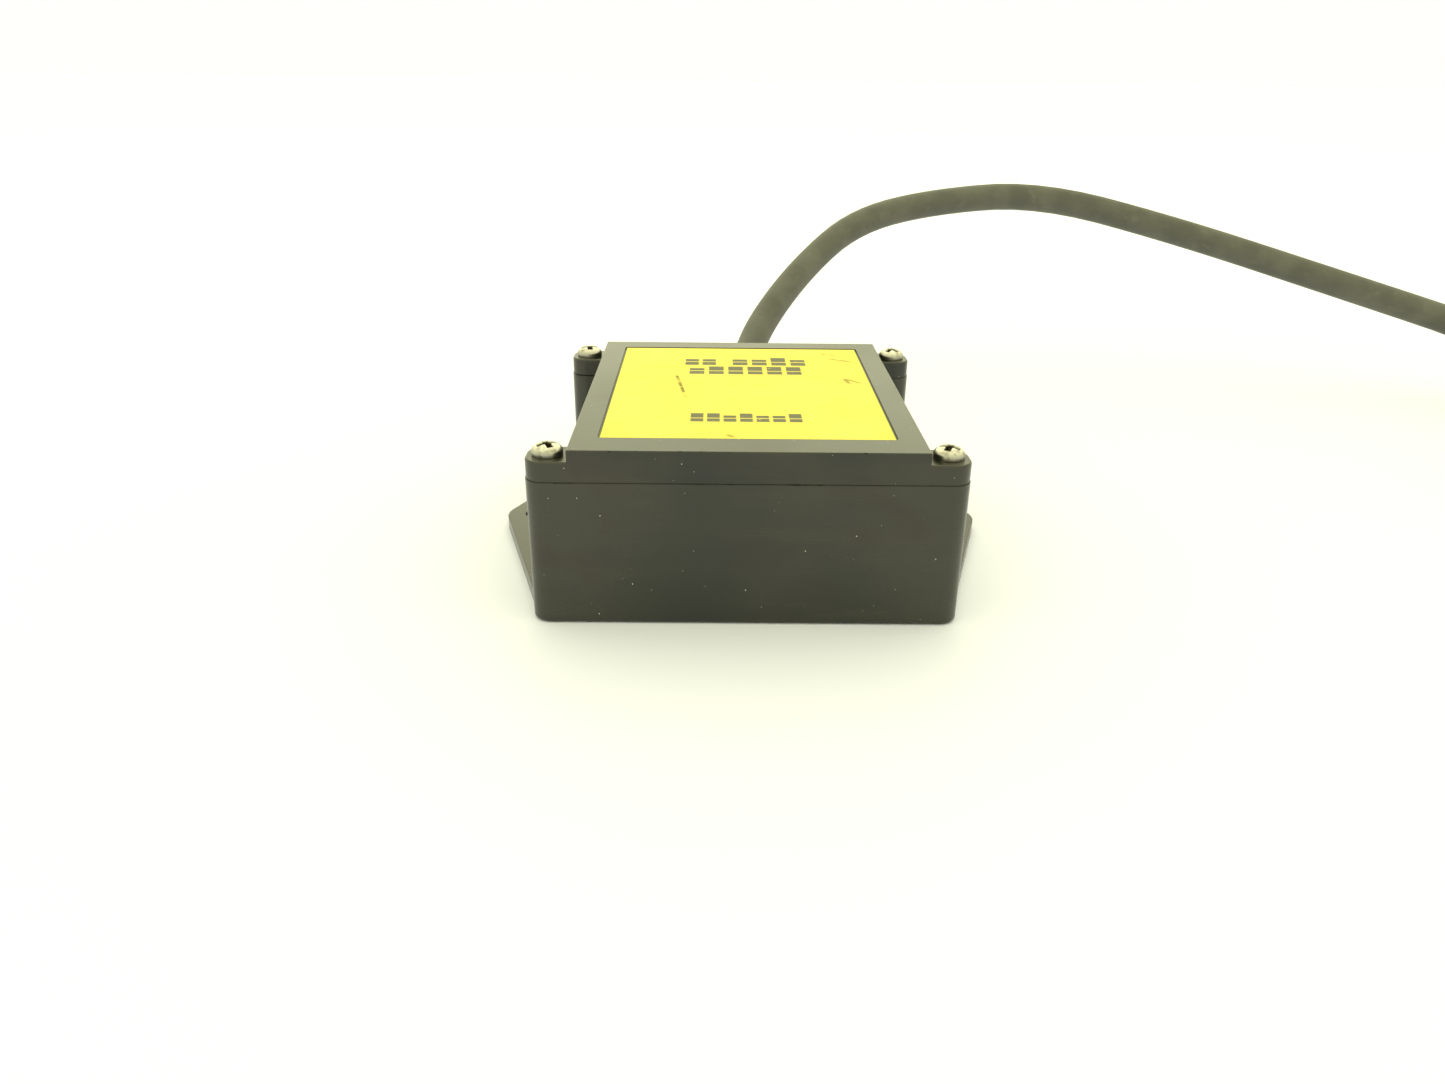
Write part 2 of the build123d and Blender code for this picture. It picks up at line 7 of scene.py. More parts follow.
import bmesh
import bpy
import numpy as np
from mathutils import Matrix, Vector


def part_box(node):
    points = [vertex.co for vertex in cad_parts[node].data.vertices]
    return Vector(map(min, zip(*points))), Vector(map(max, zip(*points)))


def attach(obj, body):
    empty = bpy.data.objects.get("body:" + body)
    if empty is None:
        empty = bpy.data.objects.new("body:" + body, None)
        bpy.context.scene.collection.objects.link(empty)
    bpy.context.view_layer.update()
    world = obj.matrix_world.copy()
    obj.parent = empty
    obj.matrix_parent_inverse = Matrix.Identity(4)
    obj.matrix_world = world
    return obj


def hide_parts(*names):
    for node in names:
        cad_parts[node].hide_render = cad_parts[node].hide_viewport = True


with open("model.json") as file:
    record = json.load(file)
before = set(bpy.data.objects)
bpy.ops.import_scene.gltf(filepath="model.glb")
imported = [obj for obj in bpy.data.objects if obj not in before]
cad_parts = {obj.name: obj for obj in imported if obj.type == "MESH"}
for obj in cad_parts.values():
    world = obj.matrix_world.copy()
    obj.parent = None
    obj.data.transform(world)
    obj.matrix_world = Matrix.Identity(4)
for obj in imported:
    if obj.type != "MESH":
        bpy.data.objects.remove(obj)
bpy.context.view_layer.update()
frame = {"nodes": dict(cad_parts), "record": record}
NODES = frame["nodes"]
MM = 0.001

# ---- cable: its exit, its thickness and the points of its route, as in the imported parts
CABLE_D = 0.0085
CABLE_R = CABLE_D / 2
FREE_RUN = [
    (0.0, 0.058, 0.0175), (0.0, 0.069, 0.0175), (0.0026, 0.083, 0.019), (0.0078, 0.101, 0.0265),
    (0.0215, 0.123, 0.039), (0.0395, 0.1425, 0.0505), (0.0655, 0.1545, 0.0555),
    (0.102, 0.1535, 0.059), (0.146, 0.1395, 0.049), (0.1935, 0.1215, 0.0355),
    (0.239, 0.104, 0.0225), (0.2725, 0.087, 0.0043), (0.3005, 0.070, 0.00425)]
TAIL_RUN = [
    (0.2960, 0.0627, 0.01285), (0.3096, 0.0538, 0.01285), (0.3231, 0.0403, 0.0129),
    (0.3324, 0.0213, 0.0120), (0.3337, 0.0009, 0.0095), (0.3259, -0.0187, 0.0066),
    (0.3112, -0.0341, 0.0056), (0.2934, -0.0470, 0.0076), (0.2805, -0.0564, 0.0076)]
COIL_CENTRE = np.array([0.2709, 0.0213])
COIL_START = math.radians(58.7)     # where the free run meets the outermost turn
COIL_R = 0.057
COIL_PITCH = 0.0086
COIL_TURNS = 4
POINTS_PER_TURN = 24

# ---- half the width of the lid's raised top, which is narrower than the lid over its ears
RAISED_TOP_X = 0.0328

# ---- strap round the coil
TIE_ANGLE = math.radians(200)
TIE_W = 0.012
TIE_T = 0.0009

# ---- lid screws
HEAD_R = 0.0029
HEAD_H = 0.0022
SHANK_R = 0.0015
SHANK_L = 0.012
THREAD_PITCH = 0.0005

# ---- colour of all the light
LIGHT_COLOUR = (1.0, 1.0, 0.66)

# ---- camera: its place and its turns about X, Y and Z
CAMERA_AT = (-0.0063, -0.2164, 0.09838)
CAMERA_PITCH = math.radians(24.67)
CAMERA_ROLL = math.radians(0.68)
CAMERA_YAW = math.radians(0.55)
CAMERA_LENS = 26.10


# ================================================================ shader maths
class Value:
    """A number that a shader works out. Arithmetic on it adds Math nodes."""

    def __init__(self, shader, socket):
        self.shader = shader
        self.socket = socket

    def calculate(self, operation, *terms):
        return self.shader.node("ShaderNodeMath", {"operation": operation}, dict(enumerate(terms)))

    def __add__(self, other):
        return self.calculate("ADD", self, other)

    def __radd__(self, other):
        return self.calculate("ADD", other, self)

    def __sub__(self, other):
        return self.calculate("SUBTRACT", self, other)

    def __rsub__(self, other):
        return self.calculate("SUBTRACT", other, self)

    def __mul__(self, other):
        return self.calculate("MULTIPLY", self, other)

    def __rmul__(self, other):
        return self.calculate("MULTIPLY", other, self)

    def __truediv__(self, other):
        return self.calculate("DIVIDE", self, other)

    def __abs__(self):
        return self.calculate("ABSOLUTE", self)

    def fraction(self):
        return self.calculate("FRACT", self)

    def floor(self):
        return self.calculate("FLOOR", self)

    def greatest(self, other):
        return self.calculate("MAXIMUM", self, other)

    def least(self, other):
        return self.calculate("MINIMUM", self, other)

    def step(self, low, high):
        """Rises smoothly from 0 at low to 1 at high, or falls where low is the greater."""
        return self.shader.node("ShaderNodeMapRange", {"interpolation_type": "SMOOTHSTEP"},
                                {"Value": self, "From Min": low, "From Max": high})


class Shader:
    """A Principled material and the ways in which its nodes are added."""

    def __init__(self, name, **fixed):
        self.material = bpy.data.materials.new(name)
        self.material.use_nodes = True
        self.tree = self.material.node_tree
        self.tree.nodes.clear()
        self.surface = self.tree.nodes.new("ShaderNodeBsdfPrincipled")
        output = self.tree.nodes.new("ShaderNodeOutputMaterial")
        self.tree.links.new(self.surface.outputs[0], output.inputs["Surface"])
        self.here = self.node("ShaderNodeTexCoord", output="Object")
        for name_, value in fixed.items():
            self.set(name_, value)

    def feed(self, socket, value):
        """Links a worked-out value to a socket, or sets a plain one on it."""
        if isinstance(value, Value):
            self.tree.links.new(value.socket, socket)
        else:
            socket.default_value = value

    def set(self, name, value):
        """Sets or links one socket of the surface, such as base_color."""
        self.feed(self.surface.inputs[name.replace("_", " ").title().replace("Ior", "IOR")], value)

    def node(self, kind, settings=(), sockets=(), output=0):
        """Adds a node: its settings first, then its sockets. Gives one output, or a list of several."""
        made = self.tree.nodes.new(kind)
        for name, value in dict(settings).items():
            setattr(made, name, value)
        for key, value in dict(sockets).items():
            self.feed(made.inputs[key], value)
        if isinstance(output, tuple):
            return [Value(self, made.outputs[key]) for key in output]
        return Value(self, made.outputs[output])

    def axes(self):
        """x, y and z of the place, in metres."""
        return self.node("ShaderNodeSeparateXYZ", (), {0: self.here}, (0, 1, 2))

    def stretched(self, scale):
        """The place, scaled along each axis, so that a pattern is drawn out."""
        return self.node("ShaderNodeMapping", (), {"Vector": self.here, "Scale": scale})

    def noise(self, scale, detail=2.0, at=None, roughness=0.5):
        """Cloudy noise about 0.5, with lumps 1/scale metres across."""
        return self.node("ShaderNodeTexNoise", (), {"Vector": at or self.here, "Scale": scale,
                                                    "Detail": detail, "Roughness": roughness})

    def specks(self, cell, size, share):
        """Round specks of the given size, in a share of cells that wide, all in metres."""
        distance, colour = self.node("ShaderNodeTexVoronoi", (),
                                     {"Vector": self.here, "Scale": 1 / cell}, ("Distance", "Color"))
        pick = self.node("ShaderNodeSeparateColor", (), {0: colour})
        return distance.step(size / cell, 0.4 * size / cell) * pick.step(1 - share, 1.01 - share)

    def mix(self, amount, first, second):
        """The colour that lies that far from first to second."""
        return self.node("ShaderNodeMix", {"data_type": "RGBA"}, {0: amount, 6: first, 7: second}, 2)

    def bump(self, height, depth, strength=1.0):
        """Sets the surface's normal from a height of 0 to 1, as deep as given in metres."""
        self.set("normal", self.node("ShaderNodeBump", (), {"Height": height, "Distance": depth,
                                                            "Strength": strength}))


def grey(level, warmth=0.0):
    """A grey that leans towards yellow by warmth."""
    return (level, level * (1 + 0.02 * warmth), level * (1 - warmth), 1.0)


# ================================================================ finishes
def case_gap_shade(s, x, y, z):
    """Painted shade: a broken black line in the seam between base and lid, and black nicks along the
    raised top's edges.
    """
    seam_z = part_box("base_housing")[1].z
    front_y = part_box("lid")[0].y
    top_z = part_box("lid")[1].z
    broken = s.noise(120, 3, s.stretched((1.0, 1.0, 0.1))).step(0.52, 0.64)
    seam = abs(z - seam_z).step(0.20 * MM, 0.10 * MM) * (0.15 + 0.55 * broken)
    side_edge = abs(x).step(RAISED_TOP_X - 0.5 * MM, RAISED_TOP_X - 0.1 * MM)
    front_edge = y.step(front_y + 0.65 * MM, front_y + 0.15 * MM)
    upper = z.step(top_z - 0.4 * MM, top_z - 0.1 * MM)
    nicks = side_edge.greatest(front_edge) * upper * s.noise(700, 3).step(0.64, 0.68)
    return nicks.greatest(seam)


def case_plastic():
    """Moulded black plastic: satin, finely grained, with painted light that makes it paler low down and
    towards the ears, with cloudy and drawn-out smudges and pale dust. The seam and nicks are painted
    shade: black and metallic, so they give nothing back."""
    s = Shader("case_plastic", specular_ior_level=0.55)
    x, y, z = s.axes()
    seam_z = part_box("base_housing")[1].z
    mottle = s.noise(38, 4)
    brown = s.noise(75, 4, s.stretched((0.7, 0.7, 1.3))).step(0.50, 0.68)
    streaks = s.noise(60, 4, s.stretched((0.35, 0.35, 3.0))).step(0.45, 0.75)
    dust = s.specks(3.0 * MM, 0.14 * MM, 0.65).greatest(s.specks(1.9 * MM, 0.08 * MM, 0.5))
    # Painted light: the base below the seam and the sides towards the ears are made paler, as if more
    # light fell there.
    pale = 0.5 * z.step(seam_z + 0.4 * MM, seam_z - 0.4 * MM) + 0.5 * abs(x).step(8 * MM, 36 * MM)
    tone = s.mix(mottle.step(0.35, 0.7), (0.001, 0.003, 0.001, 1), (0.018, 0.017, 0.011, 1))
    tone = s.mix(pale * 0.7, tone, (0.025, 0.027, 0.017, 1))
    tone = s.mix(streaks * 0.5, tone, (0.030, 0.027, 0.017, 1))
    tone = s.mix(brown * 0.5, tone, (0.016, 0.010, 0.007, 1))
    tone = s.mix(dust * 0.85, tone, (0.70, 0.70, 0.60, 1))
    # Painted shade in the seam and the nicks: black and metallic, so nothing is reflected there.
    gap_shade = case_gap_shade(s, x, y, z)
    s.set("base_color", s.mix(gap_shade, tone, (0.001, 0.001, 0.001, 1)))
    s.set("metallic", gap_shade)
    s.set("roughness", 0.16 + 0.14 * mottle + 0.10 * streaks)
    grain = s.noise(2600, 2) * 0.7 + s.noise(700, 2) * 0.3
    s.bump(grain + dust * 0.6, 0.00006, 0.28)
    return s.material


def gasket_rubber():
    """Soft black rubber with a bloom of pale dust."""
    s = Shader("gasket_rubber", specular_ior_level=0.3)
    bloom = s.noise(500, 3)
    s.set("base_color", s.mix(bloom.step(0.5, 0.8), grey(0.022), grey(0.06, 0.1)))
    s.set("roughness", 0.68 + 0.2 * bloom)
    s.bump(s.noise(1800, 2), 0.0001, 0.5)
    return s.material


def stroke(s, start, end, width, x, y):
    """A worn line from one point of the label to another, fading at its ends."""
    (x0, y0), (x1, y1) = start, end
    length = math.hypot(x1 - x0, y1 - y0)
    ux = (x1 - x0) / length
    uy = (y1 - y0) / length
    along = (x - x0) * ux + (y - y0) * uy
    across = abs((x - x0) * uy - (y - y0) * ux)
    ends = along.step(-width, width) * along.step(length + width, length * 0.6)
    return across.step(width, width * 0.3) * ends


def print_row(s, low, high, start, end, blocks, fill, x, y):
    """A row of plain printed blocks in place of words, each split into two bars, some less tall."""
    pitch = (end - start) / (blocks - 1 + fill)
    place = (x - start) / pitch
    inside = place.step(-0.01, 0.01) * place.step(blocks + 0.01, blocks - 0.01)
    part = place.fraction()
    soft = 0.0002 / pitch
    column = part.step(-soft, soft) * part.step(fill + soft, fill - soft)
    chance = s.node("ShaderNodeTexWhiteNoise", {"noise_dimensions": "1D"},
                    {"W": place.floor() + 1000 * (low + 1)})
    top = low + (high - low) * (0.76 + 0.24 * chance.step(0.45, 0.46))
    split = abs(y - low - (high - low) * 0.42).step((high - low) * 0.015, (high - low) * 0.05)
    return inside * column * split * (y - low).step(0, 0.0002) * (top - y).step(0, 0.0002)


def label_film():
    """Yellow film with rows of plain grey blocks, a scratch, a few scuffs, a faint mottle and a painted
    shade line along its edges.
    """
    s = Shader("label_film", specular_ior_level=0.18)
    x, y, _ = s.axes()
    yellow = s.mix(s.noise(70, 3).step(0.35, 0.75), (0.86, 0.69, 0.098, 1), (0.92, 0.75, 0.122, 1))
    rows = [(0.0190, 0.0260, -0.0131, -0.0060, 2, 0.80), (0.0190, 0.0260, -0.0022, 0.0146, 4, 0.78),
            (0.0114, 0.0180, -0.0120, 0.0132, 6, 0.78), (-0.0225, -0.0170, -0.0110, 0.0109, 7, 0.80)]
    ink = print_row(s, *rows[0], x, y)
    for row in rows[1:]:
        ink = ink.greatest(print_row(s, *row, x, y))
    ink = ink * s.noise(900, 3).step(0.15, 0.35)
    worn = stroke(s, (-0.0147, 0.0100), (-0.0119, -0.0087), 0.00055, x, y)
    for start, end in (((0.0205, 0.0255), (0.0262, 0.0225)), ((0.0190, 0.0300), (0.0225, 0.0285)),
                       ((0.0222, 0.0085), (0.0262, 0.0045)), ((0.0222, 0.0085), (0.0232, 0.0040)),
                       ((-0.0040, -0.0300), (-0.0026, -0.0316))):
        worn = worn.greatest(0.8 * stroke(s, start, end, 0.0007, x, y))
    worn = worn * s.noise(420, 3).step(0.25, 0.50)
    low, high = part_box("label")
    from_middle = abs(y - (low.y + high.y) / 2)
    half_depth = (high.y - low.y) / 2
    # Painted shade: a thin dark line round the label's edges, as if the edge of its recess shaded it.
    edge_shade = abs(x).step(high.x - 0.27 * MM, high.x - 0.15 * MM).greatest(
        from_middle.step(half_depth - 0.30 * MM, half_depth - 0.18 * MM))
    tone = s.mix(ink, yellow, (0.135, 0.135, 0.075, 1))
    tone = s.mix(edge_shade, tone, (0.10, 0.13, 0.02, 1))
    s.set("base_color", s.mix(worn * 0.85, tone, (0.15, 0.15, 0.04, 1)))
    s.set("roughness", 0.50 + 0.12 * s.noise(300, 3) + 0.2 * worn)
    s.bump(s.noise(1400, 3) * 0.5 - worn, 0.00004, 0.6)
    return s.material


def metal(name, colour, stain, roughness, grain=900.0):
    """Worn plated or turned metal: fine wear marks, duller patches and some staining."""
    s = Shader(name, metallic=1.0)
    cloud = s.noise(700, 4)
    fine = s.noise(grain * 4, 3)
    dirt = s.noise(420, 4, roughness=0.65).step(0.62, 0.80)
    s.set("base_color", s.mix(dirt * 0.8, s.mix(cloud, colour, tuple(c * 0.8 for c in colour[:3]) + (1,)),
                              stain))
    s.set("roughness", roughness + 0.18 * cloud + 0.3 * dirt)
    s.bump(fine, 0.00002, 0.5)
    return s.material


def brass():
    return metal("brass", (0.80, 0.60, 0.27, 1), (0.25, 0.16, 0.07, 1), 0.24)


def spacer_metal():
    return metal("spacer_metal", (0.74, 0.71, 0.62, 1), (0.35, 0.31, 0.24, 1), 0.22)


def can_metal():
    return metal("can_metal", (0.82, 0.82, 0.80, 1), (0.5, 0.48, 0.44, 1), 0.18)


def capacitor_metal():
    return metal("capacitor_metal", (0.80, 0.81, 0.82, 1), (0.4, 0.4, 0.4, 1), 0.3)


def screw_steel():
    """Dull plated steel, with brown dirt and painted shade where the mesh says so: in the recess and
    round the rim.
    """
    s = Shader("screw_steel", metallic=1.0)
    # The mesh marks dirt and painted shade together: the recess and the rim are made dark brown.
    grime_and_shade = s.node("ShaderNodeAttribute", {"attribute_name": "grime_and_shade"}, (), "Fac")
    cloud = s.noise(700, 4)
    stains = s.noise(520, 4, roughness=0.65).step(0.52, 0.70)
    steel = s.mix(cloud, (0.70, 0.68, 0.60, 1), (0.54, 0.52, 0.45, 1))
    steel = s.mix(stains * 0.7, steel, (0.22, 0.17, 0.10, 1))
    s.set("base_color", s.mix(grime_and_shade, steel, (0.035, 0.028, 0.018, 1)))
    s.set("roughness", 0.18 + 0.16 * cloud + 0.25 * grime_and_shade)
    s.bump(s.noise(3600, 3), 0.00002, 0.5)
    return s.material


def pin_gold():
    return metal("pin_gold", (0.94, 0.72, 0.30, 1), (0.5, 0.36, 0.14, 1), 0.14)


def ring_metal():
    return metal("ring_metal", (0.80, 0.78, 0.72, 1), (0.34, 0.31, 0.26, 1), 0.2)


def copper_wire():
    """Enamelled copper: reddish metal under a clear varnish."""
    s = Shader("copper_wire", metallic=1.0, coat_weight=0.8, coat_roughness=0.12)
    cloud = s.noise(600, 3)
    s.set("base_color", s.mix(cloud, (0.66, 0.24, 0.09, 1), (0.80, 0.36, 0.15, 1)))
    s.set("roughness", 0.24 + 0.2 * cloud)
    s.bump(s.noise(3000, 2), 0.00002, 0.4)
    return s.material


def board_green():
    """Green solder mask over copper tracks that run straight or turn square, with tinned spots."""
    s = Shader("board_green", coat_weight=0.4, coat_roughness=0.15)
    x, y, _ = s.axes()
    block = s.node("ShaderNodeTexVoronoi", {"distance": "CHEBYCHEV"}, {"Vector": s.here, "Scale": 130},
                   "Color")
    pick = s.node("ShaderNodeSeparateColor", (), {0: block})
    lanes_x = abs((x * 800).fraction() - 0.5).step(0.26, 0.18)
    lanes_y = abs((y * 800).fraction() - 0.5).step(0.26, 0.18)
    along_x = pick.step(0.48, 0.50)
    tracks = lanes_y * along_x + lanes_x * (1 - along_x)
    tracks = tracks * pick.step(0.16, 0.18) * pick.step(0.90, 0.88)
    mask = s.mix(tracks * 0.8, (0.008, 0.085, 0.030, 1), (0.030, 0.190, 0.060, 1))
    spots = s.specks(0.0036, 0.0005, 0.45)
    s.set("base_color", s.mix(spots, mask, (0.62, 0.60, 0.54, 1)))
    s.set("metallic", spots * 0.9)
    s.set("roughness", 0.38 + 0.1 * s.noise(300, 2) - 0.08 * tracks)
    s.bump(tracks + spots, 0.00006, 0.7)
    return s.material


def chip_black():
    """Moulded epoxy with fine sparkle, and tinned metal below the body, where the legs are."""
    s = Shader("chip_black", specular_ior_level=0.35)
    _, _, z = s.axes()
    board_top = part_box("main_circuit_board")[1].z
    legs = z.step(board_top + 0.00045, board_top + 0.00035)
    grain = s.noise(2600, 3)
    s.set("base_color", s.mix(legs, s.mix(grain, grey(0.012), grey(0.040)), (0.6, 0.6, 0.58, 1)))
    s.set("metallic", legs)
    s.set("roughness", 0.62 - 0.3 * legs + 0.1 * grain)
    s.bump(grain, 0.00003, 0.6)
    return s.material


def moulded(name, dark, pale, roughness=0.45, coarse=220.0):
    """Plain moulded plastic: cloudy in tone, finely grained."""
    s = Shader(name, specular_ior_level=0.45)
    cloud = s.noise(coarse, 3)
    s.set("base_color", s.mix(cloud, dark, pale))
    s.set("roughness", roughness + 0.15 * cloud)
    s.bump(s.noise(2400, 2), 0.00004, 0.5)
    return s.material


def header_plastic():
    return moulded("header_plastic", (0.62, 0.60, 0.50, 1), (0.72, 0.70, 0.60, 1))


def former_plastic():
    return moulded("former_plastic", (0.52, 0.49, 0.38, 1), (0.62, 0.59, 0.47, 1), 0.4)


def ferrite_grey():
    return moulded("ferrite_grey", grey(0.030), grey(0.060), 0.55, 700)


def gland_plastic():
    return moulded("gland_plastic", grey(0.030, 0.2), grey(0.048, 0.2), 0.38)


def plug_plastic():
    return moulded("plug_plastic", grey(0.020, 0.1), grey(0.034, 0.1), 0.42)


def wire_red():
    return moulded("wire_red", (0.40, 0.018, 0.012, 1), (0.52, 0.030, 0.020, 1), 0.32)


def wire_black():
    return moulded("wire_black", grey(0.012), grey(0.022), 0.32)


def wire_green():
    return moulded("wire_green", (0.012, 0.20, 0.050, 1), (0.020, 0.28, 0.070, 1), 0.32)


def wire_white():
    return moulded("wire_white", (0.72, 0.72, 0.68, 1), (0.80, 0.80, 0.77, 1), 0.32)


def cable_jacket():
    """Matt black jacket with a fine grain, dull handling marks and a little dust."""
    s = Shader("cable_jacket", specular_ior_level=0.5)
    cloud = s.noise(90, 4)
    rubbed = s.noise(260, 3).step(0.55, 0.75)
    dust = s.specks(0.004, 0.00014, 0.3)
    tone = s.mix(cloud.step(0.35, 0.7), (0.066, 0.066, 0.054, 1), (0.098, 0.098, 0.080, 1))
    tone = s.mix(rubbed * 0.4, tone, (0.140, 0.140, 0.115, 1))
    s.set("base_color", s.mix(dust * 0.6, tone, (0.5, 0.5, 0.45, 1)))
    s.set("roughness", 0.50 + 0.12 * cloud + 0.10 * rubbed)
    s.bump(s.noise(2200, 3), 0.00006, 0.6)
    return s.material


def tie_fabric():
    """Woven strap: crossing ribs with a nap of short loops."""
    s = Shader("tie_fabric", specular_ior_level=0.2, sheen_weight=0.5, sheen_roughness=0.5)
    warp, weft = s.node("ShaderNodeSeparateXYZ", (), {0: s.node("ShaderNodeUVMap", {"uv_map": "strap"})},
                        (0, 1))
    ribs = abs((warp * 190).fraction() - 0.5) * 2
    cords = abs((weft * 15).fraction() - 0.5) * 2
    weave = ribs.least(cords)
    nap = s.noise(2600, 3)
    s.set("base_color", s.mix(nap * weave, grey(0.008), grey(0.040)))
    s.set("roughness", 0.8 + 0.15 * nap)
    s.bump(weave * 0.7 + nap * 0.3, 0.00025, 0.9)
    return s.material


def finishes():
    """One material for each material slot of the record."""
    makers = (case_plastic, gasket_rubber, label_film, brass, board_green, spacer_metal, chip_black,
              can_metal, capacitor_metal, header_plastic, former_plastic, ferrite_grey, copper_wire,
              screw_steel, gland_plastic, cable_jacket, tie_fabric, plug_plastic, pin_gold, ring_metal,
              wire_red, wire_black, wire_green, wire_white)
    made = {maker.__name__: maker() for maker in makers}
    made["label_yellow"] = made.pop("label_film")
    return made


# ================================================================ pieces
def surface(name, points, around=False, closed=False):
    """A mesh from a grid of points[i, j]. around joins the last j to the first, closed the last i."""
    rows, columns, _ = points.shape
    i, j = np.meshgrid(np.arange(rows - (not closed)), np.arange(columns - (not around)), indexing="ij")
    below = (i + 1) % rows
    beside = (j + 1) % columns
    quads = np.stack([i * columns + j, below * columns + j, below * columns + beside,
                      i * columns + beside], -1).reshape(-1, 4)
    mesh = bpy.data.meshes.new(name)
    mesh.from_pydata(points.reshape(-1, 3).tolist(), [], quads.tolist())
    return mesh


def finished(mesh, material, body, replaced, crease=35):
    """Closes poles and seams, turns faces outwards, and puts the piece on its body."""
    work = bmesh.new()
    work.from_mesh(mesh)
    bmesh.ops.remove_doubles(work, verts=work.verts, dist=1e-6)
    bmesh.ops.recalc_face_normals(work, faces=work.faces)
    work.to_mesh(mesh)
    work.free()
    mesh.polygons.foreach_set("use_smooth", [True] * len(mesh.polygons))
    mesh.set_sharp_from_angle(angle=math.radians(crease))
    mesh.materials.append(material)
    piece = bpy.data.objects.new(mesh.name, mesh)
    bpy.context.scene.collection.objects.link(piece)
    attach(piece, body)
    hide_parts(*replaced)
    return piece


def eased(share):
    """0 below 0 and 1 above 1, with a smooth rise between."""
    share = np.clip(share, 0, 1)
    return share * share * (3 - 2 * share)


def coil_radius(turn):
    """Steps in by a pitch in the last quarter of turns 1 and 2, and out in the second of turn 4."""
    inward = eased((turn - 0.75) * 4) + eased((turn - 1.75) * 4) - eased((turn - 3.25) * 4)
    return COIL_R - COIL_PITCH * inward


def coil_height(turn):
    """The cable's radius above the floor, then a pitch higher from the third quarter of turn 3."""
    return CABLE_R + COIL_PITCH * eased((turn - 2.5) * 4)


def coil_points():
    """The turns: three side by side on the floor, from the outside in, then one back over them.

    Near the strap they stand on it, so they are lifted there by its thickness."""
    turn = np.arange(1, COIL_TURNS * POINTS_PER_TURN) / POINTS_PER_TURN
    radius = coil_radius(turn)
    angle = COIL_START - 2 * math.pi * turn
    from_tie = np.degrees(np.abs((angle - TIE_ANGLE + math.pi) % (2 * math.pi) - math.pi))
    height = coil_height(turn) + TIE_T * eased(1.8 - from_tie / 25)
    widen = 1 / math.cos(math.pi / POINTS_PER_TURN)
    x = COIL_CENTRE[0] + radius * widen * np.cos(angle)
    y = COIL_CENTRE[1] + radius * widen * np.sin(angle)
    return np.stack([x, y, height], 1).tolist()


def cable(material):
    """The free cable: one smooth line from the gland over the arch, round the coil and to its plug."""
    route = FREE_RUN + coil_points() + TAIL_RUN
    curve = bpy.data.curves.new("cable", "CURVE")
    curve.dimensions = "3D"
    spline = curve.splines.new("NURBS")
    spline.points.add(len(route) - 1)
    spline.points.foreach_set("co", [c for point in route for c in (*point, 1.0)])
    spline.order_u = 3
    spline.use_endpoint_u = True
    curve.resolution_u = 6
    curve.bevel_depth = CABLE_R
    curve.bevel_resolution = 5
    curve.use_fill_caps = True
    curve.materials.append(material)
    piece = bpy.data.objects.new("cable", curve)
    bpy.context.scene.collection.objects.link(piece)
    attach(piece, "base")
    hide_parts("cable_free_run", "cable_coil", "cable_tail")
    return piece


def tie(material):
    """A strap wound once and a quarter round the turns.

    A direction n turns from 20 to 490 degrees. Each point lies on the turn that reaches furthest along
    n, at the cable's radius out from its middle, so the strap follows the turns' outer hull. Its flat
    section with rounded edges is carried along that line, and steps out by its own thickness where it
    passes over itself."""
    turn = np.arange(COIL_TURNS) + (COIL_START - TIE_ANGLE + 2 * math.pi) / (2 * math.pi) % 1
    centres = np.stack([coil_radius(turn), coil_height(turn) + TIE_T], 1)
    lead = np.radians(np.linspace(20, 490, 330))
    n = np.stack([np.cos(lead), np.sin(lead)], 1)
    furthest = centres[np.argmax(n @ centres.T, axis=1)]
    overlap = eased((lead - math.radians(345)) / math.radians(40))
    spot = np.linspace(0, 2 * math.pi, 28, endpoint=False)
    across = TIE_W / 2 * np.sign(np.cos(spot)) * np.abs(np.cos(spot)) ** 0.12
    out = TIE_T / 2 * np.sin(spot) * 0.98
    end = np.minimum(np.arange(len(lead)), np.arange(len(lead))[::-1])
    shrink = np.where(end == 0, 0.0, 1.0)[:, None]
    reach = CABLE_R + TIE_T * (0.5 + 1.02 * overlap)[:, None] + out * shrink
    flat = furthest[:, None, :] + reach[..., None] * n[:, None, :]
    radial = np.array([math.cos(TIE_ANGLE), math.sin(TIE_ANGLE)])
    tangent = np.array([-radial[1], radial[0]])
    plan = COIL_CENTRE + flat[..., :1] * radial + (across * shrink)[..., None] * tangent
    mesh = surface("coil_tie_strap", np.concatenate([plan, flat[..., 1:]], -1), around=True)
    lay = mesh.uv_layers.new(name="strap")
    vertex = np.zeros(len(mesh.loops), int)
    mesh.loops.foreach_get("vertex_index", vertex)
    length = np.concatenate([[0], np.cumsum(np.linalg.norm(np.diff(flat[:, 0], axis=0), axis=1))])
    uv = np.stack([length[vertex // len(spot)] / TIE_W / 15 * 12, across[vertex % len(spot)] / TIE_W], 1)
    lay.data.foreach_set("uv", uv.ravel())
    return finished(mesh, material, "base", ["coil_tie"], 40)


def recess_depth(x, y):
    """Depth of a cross recess: four tapering wings that run out towards the rim, and a deeper middle."""
    along = np.maximum(np.abs(x), np.abs(y))
    across = np.minimum(np.abs(x), np.abs(y))
    wing = eased((0.66 * MM - across) / (0.24 * MM)) * eased((2.02 * MM - along) / (0.45 * MM))
    core = eased((1.15 * MM - np.hypot(x, y)) / (0.7 * MM))
    return 0.85 * MM * wing + 0.55 * MM * core * wing


